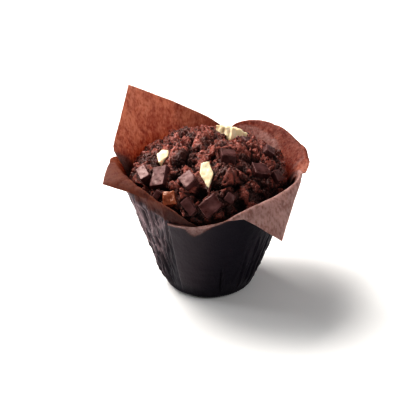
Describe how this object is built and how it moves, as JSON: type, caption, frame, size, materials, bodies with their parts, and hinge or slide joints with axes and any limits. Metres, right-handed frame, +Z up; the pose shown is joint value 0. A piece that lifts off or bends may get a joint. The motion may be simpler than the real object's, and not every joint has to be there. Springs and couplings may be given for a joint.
{
  "type": "chocolate muffin in a tulip paper case",
  "caption": "Domed chocolate muffin with dark, white and caramel pieces in a folded square greaseproof tulip case with four petals.",
  "frame": {"origin": "centre of the flat face the paper case stands on", "axes": "+Z up through the muffin's crown, -Y the front where the lowest notch between two petals is, +X to the right seen from the front"},
  "size_m": [0.1144, 0.1011, 0.1051],
  "materials": {
    "greaseproof_paper": "brown greaseproof paper, dark where the cake touches it",
    "chocolate_crumb": "baked chocolate crumb, matt with a thin shiny crust",
    "dark_chocolate": "broken dark chocolate, half gloss",
    "white_chocolate": "white chocolate shavings, satin",
    "caramel": "melted caramel, shiny"
  },
  "bodies": {
    "root": {"muffin_crumb": "chocolate_crumb", "tulip_case": "greaseproof_paper", "dark_chunk_left_brick": "dark_chocolate", "dark_chunk_left_plate": "dark_chocolate", "dark_chunk_left_wedge": "dark_chocolate", "dark_chunk_centre_tile": "dark_chocolate", "dark_chunk_upright": "dark_chocolate", "dark_chunk_crest": "dark_chocolate", "dark_chunk_right": "dark_chocolate", "dark_chunk_right_round": "dark_chocolate", "dark_chunk_right_low": "dark_chocolate", "dark_chunk_front_diamond": "dark_chocolate", "dark_chunk_front_strip": "dark_chocolate", "dark_chunk_front_shadow": "dark_chocolate", "dark_chunk_back_left": "dark_chocolate", "dark_chunk_back": "dark_chocolate", "dark_chunk_back_right": "dark_chocolate", "white_shard_crest": "white_chocolate", "white_shard_left": "white_chocolate", "white_shard_centre": "white_chocolate", "white_shard_back": "white_chocolate", "caramel_cube": "caramel"}
  },
  "joints": []
}
